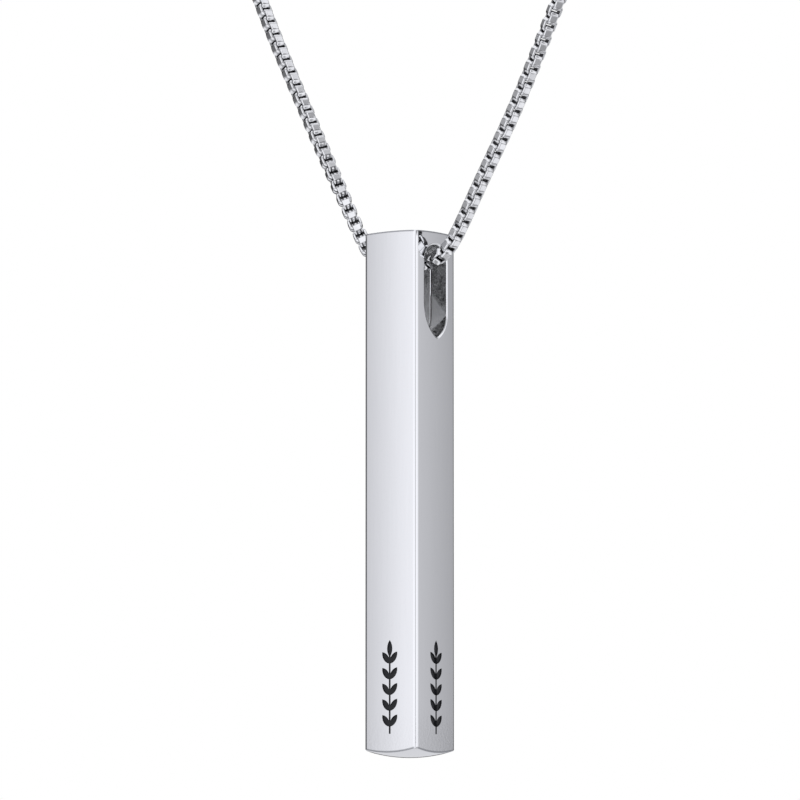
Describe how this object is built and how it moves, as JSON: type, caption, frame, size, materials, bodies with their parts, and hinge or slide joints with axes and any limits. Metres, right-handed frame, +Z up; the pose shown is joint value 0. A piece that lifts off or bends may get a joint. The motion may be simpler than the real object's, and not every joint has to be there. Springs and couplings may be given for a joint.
{
  "type": "bar necklace",
  "caption": "Polished square bar pendant with domed ends, hung through a side slot on a fine box chain with a plain clasp at the nape.",
  "frame": {"origin": "the nape of the neck, on the inner side of the clasp, where the worn necklace rests", "axes": "+Z up; +X to the right as seen from the front, along the slot; the front of the bar faces -Y"},
  "size_m": [0.1068, 0.1123, 0.16],
  "materials": {
    "polished_bar": "high polish stainless steel, engraving filled black",
    "chain_metal": "bright rolled strip",
    "clasp_metal": "polished"
  },
  "bodies": {
    "necklace": {"chain": "chain_metal", "clasp": "clasp_metal"},
    "pendant": {"bar_pendant": "polished_bar"}
  },
  "joints": [
    {"name": "pendant_swing", "type": "hinge", "parent": "necklace", "child": "pendant", "pos_m": [0, -0.108, -0.12005], "axis": [1, 0, 0], "range_deg": [-80, 80]}
  ]
}
